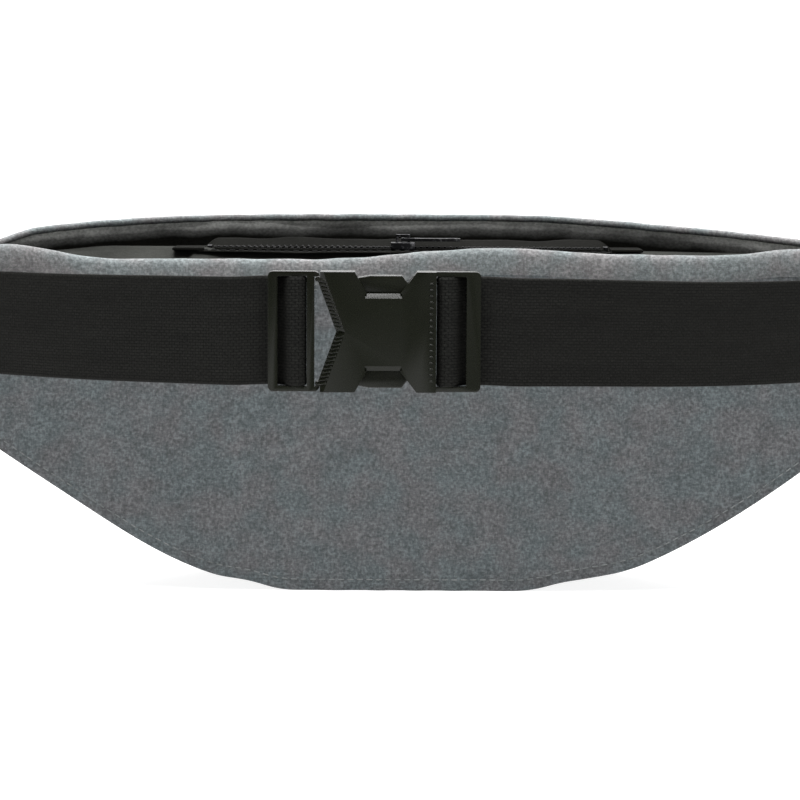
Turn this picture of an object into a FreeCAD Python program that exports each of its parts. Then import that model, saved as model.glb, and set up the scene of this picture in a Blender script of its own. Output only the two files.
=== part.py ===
"""Throw rope bag worn on a waist belt.

A crescent pouch with a zipped mouth stands on its flat base.  Its wings curve round the hips,
and a webbing belt runs from wing tip to wing tip through a side-release buckle.

Frame: millimetres, +Z up, +X to the wearer-side viewer's right, -Y towards the buckle.
The origin is under the middle of the whole object, on the surface that it stands on.
"""
import FreeCAD, Part
import math
import os

# ------------------------------------------------------------------ driving dimensions, mm
WEBBING_WIDTH = 38.0
WEBBING_THICK = 1.4

TIP_REACH = 205.0            # from the middle to a wing tip
BASE_HALF = 45.0             # half the length of the flat base
BELT_HEIGHT = 119.0          # middle of the belt above the base
TIP_LOW = 98.0               # the wing tip's lower corner
TIP_HIGH = 138.0             # the wing tip's upper corner
BACK_HEIGHT = 141.0          # rim on the wearer's side
FRONT_HEIGHT = 153.0         # rim on the far side, which stands a little higher
DEPTH = 66.0                 # pouch depth at the middle
TIP_DEPTH = 5.0              # pouch depth where the wings are sewn shut
WRAP = 40.0                  # how far the wings curve round the hips

FABRIC = 1.2                 # outer fabric
PADDING = 5.0                # foam behind the fabric
LINING = 0.8
SEAM_INSET = 7.0             # the foam stops this far from the seams
BACK_RIM_TALL = 9.0
FRONT_RIM_TALL = 6.0
RIM_THICK = 5.0

LOOP_REACH = 150.0           # from the back panel to the middle of the buckle
BUCKLE_OFFSET = -12.0        # the buckle sits this far off the middle
BUCKLE_HALF = 37.2           # half the buckle's length
BUCKLE_TALL = 42.0
HOUSING_THICK = 11.0
LADDER_THICK = 5.0

ZIP_HALF = 88.0              # half the length of the zip's tapes
ZIP_HEIGHT = 137.0           # underside of the top panels
TAPE_WIDTH = 9.0
TAPE_THICK = 0.7
TOOTH_PITCH = 2.5
TOOTH_LONG = 2.0
TOOTH_TALL = 1.6
CHAIN_HALF_GAP = 0.6         # half the gap between the two rows, for the slider's neck
MOUTH_HALF_GAP = 6.5         # how far each row stands off where the zip is undone
MOUTH_START = -80.0          # the undone stretch, along X
MOUTH_END = -6.0
SLIDER_X = -2.0
PULL_LONG = 24.0

# ------------------------------------------------------------------ derived places
HALF_SPAN_Y = (LOOP_REACH + HOUSING_THICK / 2 + DEPTH) / 2
BACK_Y = HALF_SPAN_Y - DEPTH
BUCKLE_Y = BACK_Y - LOOP_REACH
ZIP_Y = BACK_Y + DEPTH / 2
TAPE_Z = ZIP_HEIGHT + FABRIC
TOOTH_Z = TAPE_Z + TAPE_THICK
SEAM_POWER = 1.77            # shape of the curved lower seam
WRAP_POWER = 4.0             # the wings curve mostly near their tips
STRAP_BACKSET = 3.4          # the belt passes behind the buckle's bars
STATIONS = 33                # points that a long curve is drawn through


def vec(x, y, z):
    return FreeCAD.Vector(x, y, z)


# ------------------------------------------------------------------ outline of the pouch
def lower_seam(x):
    """Height of the lower seam: flat under the middle, rising to the wing tips."""
    run = (abs(x) - BASE_HALF) / (TIP_REACH - BASE_HALF)
    return TIP_LOW * max(run, 0.0) ** SEAM_POWER


def back_top(x):
    return BACK_HEIGHT - (BACK_HEIGHT - TIP_HIGH) * (abs(x) / TIP_REACH) ** 6


def front_top(x):
    return TIP_HIGH + (FRONT_HEIGHT - TIP_HIGH) * (1 - min(abs(x) / TIP_REACH, 1.0) ** 4)


def back_path(x):
    """Plan line of the back panel's outer face."""
    return x, BACK_Y - WRAP * (abs(x) / TIP_REACH) ** WRAP_POWER


def front_path(x):
    """Plan line of the front panel's outer face."""
    fullness = (1 - min(abs(x) / TIP_REACH, 1.0) ** 2) ** 0.9
    return x, back_path(x)[1] + TIP_DEPTH + (DEPTH - TIP_DEPTH) * fullness


# ------------------------------------------------------------------ builders
def spline(points):
    curve = Part.BSplineCurve()
    curve.interpolate(points)
    return curve.toShape()


def closed_face(low_edges, high_edges, corners):
    """Flat face between two runs of edges, closed at its two ends; corners are the ends' points."""
    ends = [Part.makeLine(*corners[0]), Part.makeLine(*corners[1])]
    return Part.Face(Part.Wire(Part.__sortEdges__(low_edges + high_edges + ends)))


def face_between(low, high):
    """Flat face between two curves, each given by points that run the same way."""
    return closed_face([spline(low)], [spline(high)], ((low[0], high[0]), (low[-1], high[-1])))


def spaced(start, end, count=STATIONS):
    return [start + (end - start) * i / (count - 1) for i in range(count)]


def offset_point(path, t, distance):
    """Point beside a plan path, on the side that +Y lies for a path along +X."""
    step = 0.001
    x0, y0 = path(t - step)
    x1, y1 = path(t + step)
    length = math.hypot(x1 - x0, y1 - y0)
    x, y = path(t)
    return x - distance * (y1 - y0) / length, y + distance * (x1 - x0) / length


def band(path, start, end, near, far, low, high, count=STATIONS):
    """Upright band that follows a plan path between two offsets from it."""
    def edge(offset):
        return [vec(*offset_point(path, t, offset), low) for t in spaced(start, end, count)]
    return face_between(edge(near), edge(far)).extrude(vec(0, 0, high - low))


def outline_edges(height, reach, y):
    """Edges of a height along X: one curve, or two with a straight run over the flat base."""
    def curve(start, end, count):
        return spline([vec(x, y, height(x)) for x in spaced(start, end, count)])
    if height(0.0) != height(BASE_HALF):
        return [curve(-reach, reach, 2 * STATIONS - 1)]
    flat = Part.makeLine(vec(-BASE_HALF, y, height(0.0)), vec(BASE_HALF, y, height(0.0)))
    return [curve(-reach, -BASE_HALF, STATIONS), flat, curve(BASE_HALF, reach, STATIONS)]


def elevation(reach, floor, ceiling):
    """Block that runs right through along Y, with its outline given as heights along X."""
    deep = 400.0
    corners = [tuple(vec(x, -deep / 2, height(x)) for height in (floor, ceiling)) for x in (-reach, reach)]
    outline = closed_face(outline_edges(floor, reach, -deep / 2), outline_edges(ceiling, reach, -deep / 2), corners)
    return outline.extrude(vec(0, deep, 0))


def wall(path, near, far, floor, ceiling, reach=TIP_REACH):
    """Curved panel of even thickness, cut to its outline."""
    slab = band(path, -reach - 2, reach + 2, near, far, -20.0, 180.0)
    return slab.common(elevation(reach, floor, ceiling))


def block(x0, x1, y0, y1, z0, z1):
    return Part.makeBox(x1 - x0, y1 - y0, z1 - z0, vec(x0, y0, z0))


def prism_xz(points, y0, y1):
    """Flat plate with an outline in X and Z."""
    ring = [vec(x, y0, z) for x, z in points]
    return Part.Face(Part.makePolygon(ring + ring[:1])).extrude(vec(0, y1 - y0, 0))


def ribbon(points, thick):
    """Outline of a strip that follows straight runs, with mitred corners, as 2D points."""
    sides = ([], [])
    for i, (x, y) in enumerate(points):
        before = points[max(i - 1, 0)]
        after = points[min(i + 1, len(points) - 1)]
        heading_in = math.atan2(y - before[1], x - before[0]) if i else None
        heading_out = math.atan2(after[1] - y, after[0] - x) if i < len(points) - 1 else None
        first = heading_in if heading_in is not None else heading_out
        last = heading_out if heading_out is not None else heading_in
        turn = math.remainder(last - first, 2 * math.pi)
        normal = first + turn / 2 + math.pi / 2
        reach = thick / 2 / math.cos(turn / 2)
        for side, sign in zip(sides, (1, -1)):
            side.append((x + sign * reach * math.cos(normal), y + sign * reach * math.sin(normal)))
    return sides[0] + sides[1][::-1]


def save(node, shape):
    """Writes one sub-part and says how big it is."""
    box = shape.BoundBox
    shape.exportStep("parts/" + node + ".step")
    print("%-20s valid %s solids %2d volume %9.1f  x %7.1f %7.1f  y %7.1f %7.1f  z %7.1f %7.1f" % (
        node, shape.isValid(), len(shape.Solids), shape.Volume,
        box.XMin, box.XMax, box.YMin, box.YMax, box.ZMin, box.ZMax))


# ------------------------------------------------------------------ pouch
def back_side():
    """Outer fabric, foam padding and lining on the wearer's side."""
    panel_top = lambda x: back_top(x) - BACK_RIM_TALL
    foam_floor = lambda x: lower_seam(x) + SEAM_INSET
    foam_top = lambda x: panel_top(x) - 0.2
    foam_reach = TIP_REACH - 32.0
    layers = FABRIC + PADDING
    save("back_panel", wall(back_path, 0, FABRIC, lower_seam, panel_top))
    save("back_padding", wall(back_path, FABRIC, layers, foam_floor, foam_top, foam_reach))
    save("back_lining", wall(back_path, layers, layers + LINING, foam_floor, foam_top, foam_reach))
    save("back_rim", wall(back_path, 0, RIM_THICK, panel_top, back_top, TIP_REACH - 14.0))


def front_side():
    """Outer fabric, closed-cell float foam and lining on the side away from the wearer."""
    panel_top = lambda x: front_top(x) - FRONT_RIM_TALL
    foam_floor = lambda x: lower_seam(x) + SEAM_INSET
    foam_top = lambda x: ZIP_HEIGHT - 0.2
    foam_reach = TIP_REACH - 32.0
    layers = FABRIC + PADDING
    save("front_panel", wall(front_path, -FABRIC, 0, lower_seam, panel_top))
    save("float_foam", wall(front_path, -layers, -FABRIC, foam_floor, foam_top, foam_reach))
    save("front_lining", wall(front_path, -layers - LINING, -layers, foam_floor, foam_top, foam_reach))
    save("front_rim", wall(front_path, -RIM_THICK, 0, panel_top, front_top, TIP_REACH - 14.0))


def between_walls(reach, rear_offset, front_offset, low, high):
    """Everything between the two walls, from one height to another."""
    rear = [vec(*offset_point(back_path, x, rear_offset), low) for x in spaced(-reach, reach)]
    front = [vec(*offset_point(front_path, x, -front_offset), low) for x in spaced(-reach, reach)]
    return face_between(rear, front).extrude(vec(0, 0, high - low))


def base_gusset():
    """Strip of fabric that joins the two panels along the lower seam."""
    reach = TIP_REACH - 12.0
    strip = elevation(reach, lower_seam, lambda x: lower_seam(x) + FABRIC)
    save("base_gusset", strip.common(between_walls(reach, FABRIC, FABRIC, -20.0, 180.0)))


def mouth_half_gap(x):
    """Half the distance between the two rows of teeth."""
    undone = (x - MOUTH_START) / (MOUTH_END - MOUTH_START)
    if not 0.0 < undone < 1.0:
        return CHAIN_HALF_GAP
    return CHAIN_HALF_GAP + MOUTH_HALF_GAP * math.sin(math.pi * undone) ** 1.5


def zip_line(side, beyond):
    """Plan path beside the zip, on its front (side 1) or its rear (side -1)."""
    return lambda x: (x, ZIP_Y + side * (mouth_half_gap(x) + beyond))


def top_panels():
    """The recessed top: two panels that meet at the zip, and the facings at its ends."""
    reach = TIP_REACH - 32.0
    clear = FABRIC + PADDING + LINING
    space = between_walls(reach, clear, clear, ZIP_HEIGHT, ZIP_HEIGHT + FABRIC)
    for node, side in (("top_panel_rear", -1), ("top_panel_front", 1)):
        edge = zip_line(side, 6.0)
        low = [vec(*edge(x), ZIP_HEIGHT - 1) for x in spaced(-ZIP_HALF, ZIP_HALF, 2 * STATIONS)]
        far = ZIP_Y + side * DEPTH
        half = face_between(low, [vec(p.x, far, p.z) for p in low]).extrude(vec(0, 0, FABRIC + 2))
        half = half.fuse([
            block(ZIP_HALF, reach, *sorted((ZIP_Y + side * 0.1, far)), ZIP_HEIGHT - 1, TAPE_Z + 1),
            block(-reach, -ZIP_HALF, *sorted((ZIP_Y + side * 0.1, far)), ZIP_HEIGHT - 1, TAPE_Z + 1)])
        save(node, space.common(half).removeSplitter())


def wing_patches():
    """Reinforcing patches over the stitching that holds the belt's ends in the wing tips."""
    for node, sign in (("wing_patch_left", -1), ("wing_patch_right", 1)):
        ends = sorted((sign * (TIP_REACH - 34.0), sign * (TIP_REACH - 2.0)))
        half = WEBBING_WIDTH / 2 - 1.5
        patch = band(front_path, *ends, 0, FABRIC, BELT_HEIGHT - half, BELT_HEIGHT + half, 17)
        save(node, patch.cut(band(front_path, -TIP_REACH - 2, TIP_REACH + 2, -FABRIC, 0.02, 80.0, 160.0)))


def rope_anchor():
    """Webbing loop sewn inside the base, which the end of the rope ties to."""
    floor = FABRIC + 0.8
    loop = [(-24.0, floor), (-9.0, floor), (-7.0, 22.0), (7.0, 22.0), (9.0, floor), (24.0, floor)]
    save("rope_anchor", prism_xz(ribbon(loop, WEBBING_THICK), ZIP_Y - 10.0, ZIP_Y + 10.0))


# ------------------------------------------------------------------ zip
def zip_tapes_and_teeth():
    """Both tapes and both rows of teeth: drawn together at the right, undone at the left."""
    xs = spaced(-ZIP_HALF + 8.0, ZIP_HALF - 8.0, int(2 * (ZIP_HALF - 8.0) / TOOTH_PITCH) + 1)
    for place, side in (("rear", -1), ("front", 1)):
        edges = sorted((1.2, 1.2 + TAPE_WIDTH))
        low = [vec(*zip_line(side, edges[0])(x), TAPE_Z) for x in spaced(-ZIP_HALF, ZIP_HALF, 2 * STATIONS)]
        high = [vec(p.x, p.y + side * TAPE_WIDTH, p.z) for p in low]
        save("zip_tape_" + place, face_between(low, high).extrude(vec(0, 0, TAPE_THICK)))
        teeth = []
        for x in xs:
            middle = x + side * TOOTH_PITCH / 4
            inner = ZIP_Y + side * mouth_half_gap(middle)
            teeth.append(block(middle - 0.55, middle + 0.55, *sorted((inner, inner + side * TOOTH_LONG)),
                               TOOTH_Z, TOOTH_Z + TOOTH_TALL))
        save("zip_teeth_" + place, Part.makeCompound(teeth))


def zip_ends():
    """Metal stops at both ends of the chain, and the fabric tabs that cover the tape ends."""
    stops = []
    tabs = []
    for sign in (-1, 1):
        stop = sorted((sign * (ZIP_HALF - 6.0), sign * (ZIP_HALF - 4.0)))
        stops.append(block(*stop, ZIP_Y - 3.0, ZIP_Y + 3.0, TOOTH_Z, TOOTH_Z + TOOTH_TALL + 0.3))
        tab = sorted((sign * (ZIP_HALF - 3.0), sign * (ZIP_HALF + 10.0)))
        tabs.append(block(*tab, ZIP_Y - 11.0, ZIP_Y + 11.0, TOOTH_Z, TOOTH_Z + FABRIC))
    save("zip_stops", Part.makeCompound(stops))
    save("zip_end_tabs", Part.makeCompound(tabs))


PLATE_Z = TOOTH_Z + TOOTH_TALL + 0.5
PLATE_TALL = 1.2
PIN_Z = PLATE_Z + PLATE_TALL + 1.2


def zip_slider():
    """Two plates joined by a neck, guides over the teeth, and an arch for the pull."""
    half_long = 5.0
    half_wide = 4.6
    x = SLIDER_X
    y = ZIP_Y
    top = block(x - half_long, x + half_long, y - half_wide, y + half_wide, PLATE_Z, PLATE_Z + PLATE_TALL)
    bottom = block(x - half_long, x + half_long, y - half_wide, y + half_wide, TAPE_Z - 1.3, TAPE_Z - 0.4)
    neck = block(x - 4.0, x - 1.0, y - 0.4, y + 0.4, TAPE_Z - 0.5, PLATE_Z)
    guides = [block(x - half_long, x + half_long, *sorted((y + side * 3.6, y + side * half_wide)),
                    TOOTH_Z + 0.4, PLATE_Z) for side in (-1, 1)]
    arch = block(x - 3.0, x + 3.0, y - 0.9, y + 0.9, PLATE_Z + PLATE_TALL, PLATE_Z + PLATE_TALL + 3.4)
    window = block(x - 1.8, x + 1.8, y - 1.0, y + 1.0, PLATE_Z + PLATE_TALL, PLATE_Z + PLATE_TALL + 2.4)
    save("zip_slider", top.fuse([bottom, neck, arch.cut(window)] + guides).removeSplitter())


def zip_pull():
    """Flat pull with a cross pin that turns in the slider's arch."""
    x = SLIDER_X
    pin = Part.makeCylinder(0.8, 6.0, vec(x, ZIP_Y - 3.0, PIN_Z), vec(0, 1, 0))
    arms = [block(x, x + 6.0, *sorted((ZIP_Y + side * 1.9, ZIP_Y + side * 3.0)), PIN_Z - 0.6, PIN_Z + 0.6)
            for side in (-1, 1)]
    plate = block(x + 4.8, x + PULL_LONG, ZIP_Y - 3.4, ZIP_Y + 3.4, PIN_Z - 0.6, PIN_Z + 0.6)
    hole = Part.makeCylinder(1.6, 3.0, vec(x + PULL_LONG - 3.6, ZIP_Y, PIN_Z - 1.5), vec(0, 0, 1))
    save("zip_pull", pin.fuse(arms + [plate.cut(hole)]).removeSplitter())


# ------------------------------------------------------------------ buckle
RAIL_WIDE = 1.7
BAR_SPAN = BUCKLE_TALL / 2 - RAIL_WIDE


def ladder(outer_bar, inner_bar, joins_at):
    """Two rails and two bars that the webbing threads through, in buckle coordinates."""
    far_end = outer_bar[1] if outer_bar[1] > 0 else outer_bar[0]
    rail_x = sorted((joins_at, far_end))
    half = LADDER_THICK / 2
    rails = [block(*rail_x, -half, half, *sorted((side * BAR_SPAN, side * BUCKLE_TALL / 2))) for side in (-1, 1)]
    bars = [block(*bar, -half, half, -BAR_SPAN - 0.1, BAR_SPAN + 0.1) for bar in (outer_bar, inner_bar)]
    return rails + bars


def place_in_buckle(shape):
    shape.translate(vec(BUCKLE_OFFSET, BUCKLE_Y, BELT_HEIGHT))
    return shape


HOUSING_BARS = ((32.2, BUCKLE_HALF), (23.6, 26.9))
INSERT_BARS = ((-BUCKLE_HALF, -33.9), (-28.6, -25.6))
HOUSING_MOUTH = -18.9         # where the two halves' rims meet
HOUSING_BACK = 21.6
LIP_APEX = -13.3             # bottom of the V mouth
LIP_TIP = (-20.2, 19.1)      # outer end of each side of the V
LIP_WIDTH = 3.0              # sloping lip along the V mouth
WINDOW_FLOOR = (-2.6, 9.0, 13.5)      # X range and height of a window's inner edge
WINDOW_TOP = (-6.8, 14.8)    # X range where the window opens through the rim
LEDGE_WIDTH = 1.7            # sloping ledge at the inner edge of each window
CHAMFER_DEPTH = 0.7          # depth of a slope per unit of its width
POCKET_END = 14.5
POCKET_HALF_TALL = 19.4
POCKET_HALF_DEEP = 3.0
PRONG_HALF_DEEP = 2.6
INSERT_BASE = (-23.6, -21.0)
SHOULDER_END = -19.2
SHOULDER_Z = 19.25           # underside of the shoulder over a prong's root
PRONG_PIVOT = (-19.9, 18.2)
PRONG_ROOT_RADIUS = 0.8


def chamfer_wedge(start, end, width, depth):
    """What a chamfer takes off the front face along an edge; the solid lies right of start to end."""
    face = -HOUSING_THICK / 2 - 0.01
    run = vec(end[0] - start[0], 0, end[1] - start[1])
    inward = vec(-run.z, 0, run.x) * (-width / run.Length)
    corner = vec(start[0], face, start[1]) - run * 0.05
    ring = [corner, corner + inward, corner + vec(0, depth, 0)]
    return Part.Face(Part.makePolygon(ring + ring[:1])).extrude(run * 1.1)


def buckle_housing():
    """Female half: a flat pocket with a V mouth, windows for the prong pads, and a ladder."""
    tall = BUCKLE_TALL / 2
    thick = HOUSING_THICK / 2
    tip_x, tip_z = LIP_TIP
    beyond = tip_x - 1
    floor_start, floor_end, floor_z = WINDOW_FLOOR
    body = block(tip_x, HOUSING_BACK, -thick, thick, -tall, tall)
    cuts = [block(beyond, POCKET_END, -POCKET_HALF_DEEP, POCKET_HALF_DEEP, -POCKET_HALF_TALL, POCKET_HALF_TALL),
            prism_xz([(tip_x, -tip_z), (LIP_APEX, 0.0), (tip_x, tip_z), (beyond, tip_z), (beyond, -tip_z)],
                     -thick - 1, thick + 1)]
    for side in (-1, 1):
        cuts.append(block(beyond, HOUSING_MOUTH, -thick - 1, thick + 1, *sorted((side * tip_z, side * (tall + 1)))))
        cuts.append(prism_xz([(floor_start, side * floor_z), (floor_end, side * floor_z),
                              (WINDOW_TOP[1], side * tall), (WINDOW_TOP[1], side * (tall + 1)),
                              (WINDOW_TOP[0], side * (tall + 1)), (WINDOW_TOP[0], side * tall)],
                             -thick - 1, thick + 1))
        lip = [(LIP_APEX, 0.0), (tip_x, side * tip_z)]
        ledge = [(floor_start, side * floor_z), (floor_end, side * floor_z)]
        for edge, width in ((lip, LIP_WIDTH), (ledge, LEDGE_WIDTH)):
            start, end = edge if side > 0 else edge[::-1]
            cuts.append(chamfer_wedge(start, end, width, CHAMFER_DEPTH * width))
    shell = body.cut(cuts)
    shell = shell.fuse(ladder(*HOUSING_BARS, HOUSING_BACK - 0.5)).removeSplitter()
    save("buckle_housing", place_in_buckle(shell))


def buckle_insert():
    """Male half: the ladder frame that carries the two spring prongs, with a shoulder over each root."""
    half = PRONG_HALF_DEEP
    tall = BUCKLE_TALL / 2
    base = block(*INSERT_BASE, -half, half, -tall, tall)
    shoulders = [block(INSERT_BASE[0], SHOULDER_END, -half, half, *sorted((side * SHOULDER_Z, side * tall)))
                 for side in (-1, 1)]
    frame = base.fuse(shoulders + ladder(*INSERT_BARS, INSERT_BASE[0] + 0.5)).removeSplitter()
    save("buckle_insert", place_in_buckle(frame))


def prongs():
    """Two arms with catch pads: each swings in about its root when the buckle is squeezed."""
    pivot_x, pivot_z = PRONG_PIVOT
    root = PRONG_ROOT_RADIUS
    outline = [(pivot_x, pivot_z - root), (-13.0, 16.2), (-6.0, 15.0), (-2.0, 12.2), (8.0, 12.2), (12.8, 14.2),
               (12.2, 16.6), (11.3, 17.4), (9.6, 19.7), (-1.5, 19.7), (-5.5, pivot_z + root),
               (pivot_x, pivot_z + root)]
    for node, side in (("prong_upper", 1), ("prong_lower", -1)):
        arm = prism_xz([(x, side * z) for x, z in outline], -PRONG_HALF_DEEP, PRONG_HALF_DEEP)
        knuckle = Part.makeCylinder(root, 2 * PRONG_HALF_DEEP,
                                    vec(pivot_x, -PRONG_HALF_DEEP, side * pivot_z), vec(0, 1, 0))
        save(node, place_in_buckle(arm.fuse(knuckle).removeSplitter()))


# ------------------------------------------------------------------ belt
STRAP_JOIN = 41.0            # where the threaded end meets the plain strap, from the buckle's middle
TIP_SLOPE = WRAP * WRAP_POWER / TIP_REACH


def strap_path(sign):
    """Plan path of one strap's middle, from the buckle (0) to its wing tip (1) and into it."""
    tip_x, tip_y = offset_point(back_path, TIP_REACH, TIP_DEPTH / 2)
    out = 1 / math.hypot(1, TIP_SLOPE)
    ends = ((BUCKLE_OFFSET + sign * STRAP_JOIN, BUCKLE_Y + STRAP_BACKSET), (sign * tip_x, tip_y))
    handles = ((ends[0][0] + sign * 45.0, ends[0][1] + 9.0),
               (ends[1][0] + sign * 24.0 * out, ends[1][1] - 24.0 * TIP_SLOPE * out))
    corners = (ends[0], handles[0], handles[1], ends[1])

    def point(t):
        if t > 1:
            run = (t - 1) * 100.0
            return corners[3][0] - sign * run * out, corners[3][1] + run * TIP_SLOPE * out
        weights = ((1 - t) ** 3, 3 * t * (1 - t) ** 2, 3 * t * t * (1 - t), t ** 3)
        return tuple(sum(w * corner[i] for w, corner in zip(weights, corners)) for i in (0, 1))
    return point


def strap_band(sign, start, end, near, far):
    """Stretch of webbing along a strap; the tail's offsets lie on its waist side."""
    half = WEBBING_WIDTH / 2
    return band(strap_path(sign), start, end, sign * near, sign * far,
                BELT_HEIGHT - half, BELT_HEIGHT + half)


def threaded_end(sign, bars):
    """Webbing that passes behind the outer bar, over the inner bar and back out behind itself."""
    outer, inner = bars
    ends = (min(abs(outer[0]), abs(outer[1])), max(abs(inner[0]), abs(inner[1])),
            min(abs(inner[0]), abs(inner[1])))
    behind = STRAP_BACKSET
    front = -STRAP_BACKSET
    tail = STRAP_BACKSET + 1.5
    route = [(STRAP_JOIN, behind), (ends[0] - 1.4, behind), (ends[1] + 0.9, front),
             (ends[2] - 1.05, front), (ends[2] - 1.05, tail), (STRAP_JOIN, tail)]
    outline = ribbon([(sign * x, y) for x, y in route], WEBBING_THICK)
    half = WEBBING_WIDTH / 2
    ring = [vec(x, y, -half) for x, y in outline]
    return place_in_buckle(Part.Face(Part.makePolygon(ring + ring[:1])).extrude(vec(0, 0, 2 * half)))


def belt():
    """Two straps: the right one is one piece, the left one's threaded end moves with the insert."""
    half = WEBBING_THICK / 2
    tail = (half + 0.1, half + 0.1 + WEBBING_THICK)
    tail_end = 0.36
    split = 0.26
    sewn_in = 1.16
    right = strap_band(1, 0.0, sewn_in, -half, half)
    right = right.fuse([strap_band(1, 0.0, tail_end, *tail), threaded_end(1, HOUSING_BARS)])
    save("belt_right", right.removeSplitter())
    save("belt_left", strap_band(-1, split, sewn_in, -half, half))
    end = strap_band(-1, 0.0, split - 0.003, -half, half)
    end = end.fuse([strap_band(-1, 0.0, split, *tail), threaded_end(-1, INSERT_BARS)])
    save("belt_left_end", end.removeSplitter())


def main():
    os.makedirs("parts", exist_ok=True)
    back_side()
    front_side()
    base_gusset()
    top_panels()
    wing_patches()
    rope_anchor()
    zip_tapes_and_teeth()
    zip_ends()
    zip_slider()
    zip_pull()
    buckle_housing()
    buckle_insert()
    prongs()
    belt()


main()
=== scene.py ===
"""Looks of the waist-worn throw rope bag: cloth, webbing, buckle, zip, studio and camera."""
import math

import bmesh
import bpy
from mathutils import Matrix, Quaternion, Vector, noise


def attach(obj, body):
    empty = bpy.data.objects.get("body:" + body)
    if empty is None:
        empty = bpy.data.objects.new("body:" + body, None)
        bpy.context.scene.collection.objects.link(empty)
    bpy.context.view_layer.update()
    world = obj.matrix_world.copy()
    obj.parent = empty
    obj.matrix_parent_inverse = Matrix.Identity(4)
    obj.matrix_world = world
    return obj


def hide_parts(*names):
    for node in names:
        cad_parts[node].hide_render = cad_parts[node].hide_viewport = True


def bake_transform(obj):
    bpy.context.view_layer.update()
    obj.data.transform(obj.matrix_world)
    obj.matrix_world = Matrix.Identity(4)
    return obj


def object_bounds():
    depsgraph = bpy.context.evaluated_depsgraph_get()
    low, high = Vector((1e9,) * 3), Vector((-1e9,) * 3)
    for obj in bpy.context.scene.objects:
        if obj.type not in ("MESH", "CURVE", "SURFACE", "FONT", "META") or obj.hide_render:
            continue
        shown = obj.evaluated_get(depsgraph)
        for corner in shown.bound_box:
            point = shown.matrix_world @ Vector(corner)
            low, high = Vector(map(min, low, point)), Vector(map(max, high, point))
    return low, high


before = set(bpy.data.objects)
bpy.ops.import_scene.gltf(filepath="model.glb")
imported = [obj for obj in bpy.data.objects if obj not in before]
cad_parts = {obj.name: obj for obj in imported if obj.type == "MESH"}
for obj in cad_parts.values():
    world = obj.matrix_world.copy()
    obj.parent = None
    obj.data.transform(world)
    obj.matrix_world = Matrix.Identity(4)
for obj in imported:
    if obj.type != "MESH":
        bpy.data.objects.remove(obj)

MM = 0.001
cad_low, cad_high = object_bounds()

# ------------------------------------------------------------------ driving dimensions, mm
TIP_REACH = 205.0            # from the middle to a wing tip
BASE_HALF = 45.0             # half the length of the flat base
TIP_LOW = 98.0               # the wing tip's lower corner
TIP_HIGH = 138.0             # the wing tip's upper corner
BACK_HEIGHT = 141.0          # rim on the wearer's side
FRONT_HEIGHT = 153.0         # rim on the far side, which stands a little higher
DEPTH = 66.0                 # pouch depth at the middle
TIP_DEPTH = 5.0              # pouch depth where the wings are sewn shut
WRAP = 40.0                  # how far the wings curve round the hips
WRAP_POWER = 4.0             # the wings curve mostly near their tips
SEAM_POWER = 1.77            # shape of the curved lower seam
LOOP_REACH = 150.0           # from the back panel to the middle of the buckle
FRONT_FACE_Y = cad_high.y / MM
BACK_Y = FRONT_FACE_Y - DEPTH
ZIP_Y = BACK_Y + DEPTH / 2

WALL_THICK = 1.4             # outer cloth with the cloth behind it
BASE_THICK = 1.2
MOUTH_THICK = 0.8
NEAR_ROLL = (4.3, 6.0)       # half thickness and half height of the near rim's roll
NEAR_ROLL_DROP = 6.0         # its middle lies this far below the rim's top
FAR_ROLL = (1.9, 1.5)
FAR_ROLL_DROP = 1.5
ROLL_INSET = 3.0             # the rolls stop this far short of the wing tips
SEAM_CORD = 1.2              # radius of the corded seams along the base
SEAM_CORD_RISE = 1.25

STITCH_LONG = 2.6
STITCH_GAP = 1.3
STITCH_RADIUS = 0.28
STITCH_INSET = 12.0          # the rows of stitches stop this far short of the wing tips
SEAM_STITCH_RISE = 5.0       # the lower row runs this far above the seam

LINING_TOP = 137.5           # just above the highest foam and lining
FOAM_REACH = 14.0            # the far panel's foam and lining lie this close to it
MOUTH_FAR_EDGE = 138.0       # where the recessed top meets the far panel
MOUTH_START = -80.0          # the undone stretch of the zip, along X
MOUTH_END = -6.0
CLOSED_HALF_GAP = 0.6        # from the zip's middle to each row of teeth, where it is closed
OPEN_HALF_GAP = 6.5          # what is added to that where it is undone
TAPE_Z = 138.2
TAPE_HALF = 87.5             # half the length of the tapes
TAPE_WIDTH = 9.0
TAPE_THICK = 0.6
TAPE_TILT = 4.2              # the far tape's outer edge is turned up by this much
TOOTH_Z = 138.9
TOOTH_PITCH = 2.5
TEETH_HALF = 80.0            # half the length of the rows of teeth

BUCKLE_X = -12.0             # the buckle sits this far off the middle
BUCKLE_Y = BACK_Y - LOOP_REACH
HOUSING_FACE = -5.5          # face of the housing, from the buckle's middle
LIP_APEX = -13.3             # inner corner of the V mouth
LIP_TIP = (-20.2, 19.1)      # outer end of each side of the V
LIP_WIDTH = 3.0              # sloping lip along the V mouth
LIP_DEPTH = 0.7 * LIP_WIDTH
KNURL_X = 19.9               # column of knurls beside the right slot

WEBBING_WIDTH = 38.0
BELT_HEIGHT = 119.0          # middle of the belt above the base
STRAP_BACKSET = 3.4          # the belt passes behind the buckle's bars
STRAP_JOIN = 41.0            # from the buckle's middle to where the strap hangs free
# Inside face of the outer bar, then the far and near faces of the inner bar, from the middle.
RIGHT_BARS = (32.2, 26.9, 23.6)
LEFT_BARS = (33.9, 28.6, 25.6)
RIGHT_SAG = 3.2              # how far each strap droops towards its wing
LEFT_SAG = 1.3

CAMERA_DISTANCE = 1050.0     # to the back panel
CAMERA_ELEVATION = 6.0       # degrees
CAMERA_LEAN = 0.3            # degrees
CAMERA_TARGET = (-2.9, BACK_Y, 79.1)
LENS = 115.3
SENSOR = 36.0

UP = Vector((0, 0, 1))


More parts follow.
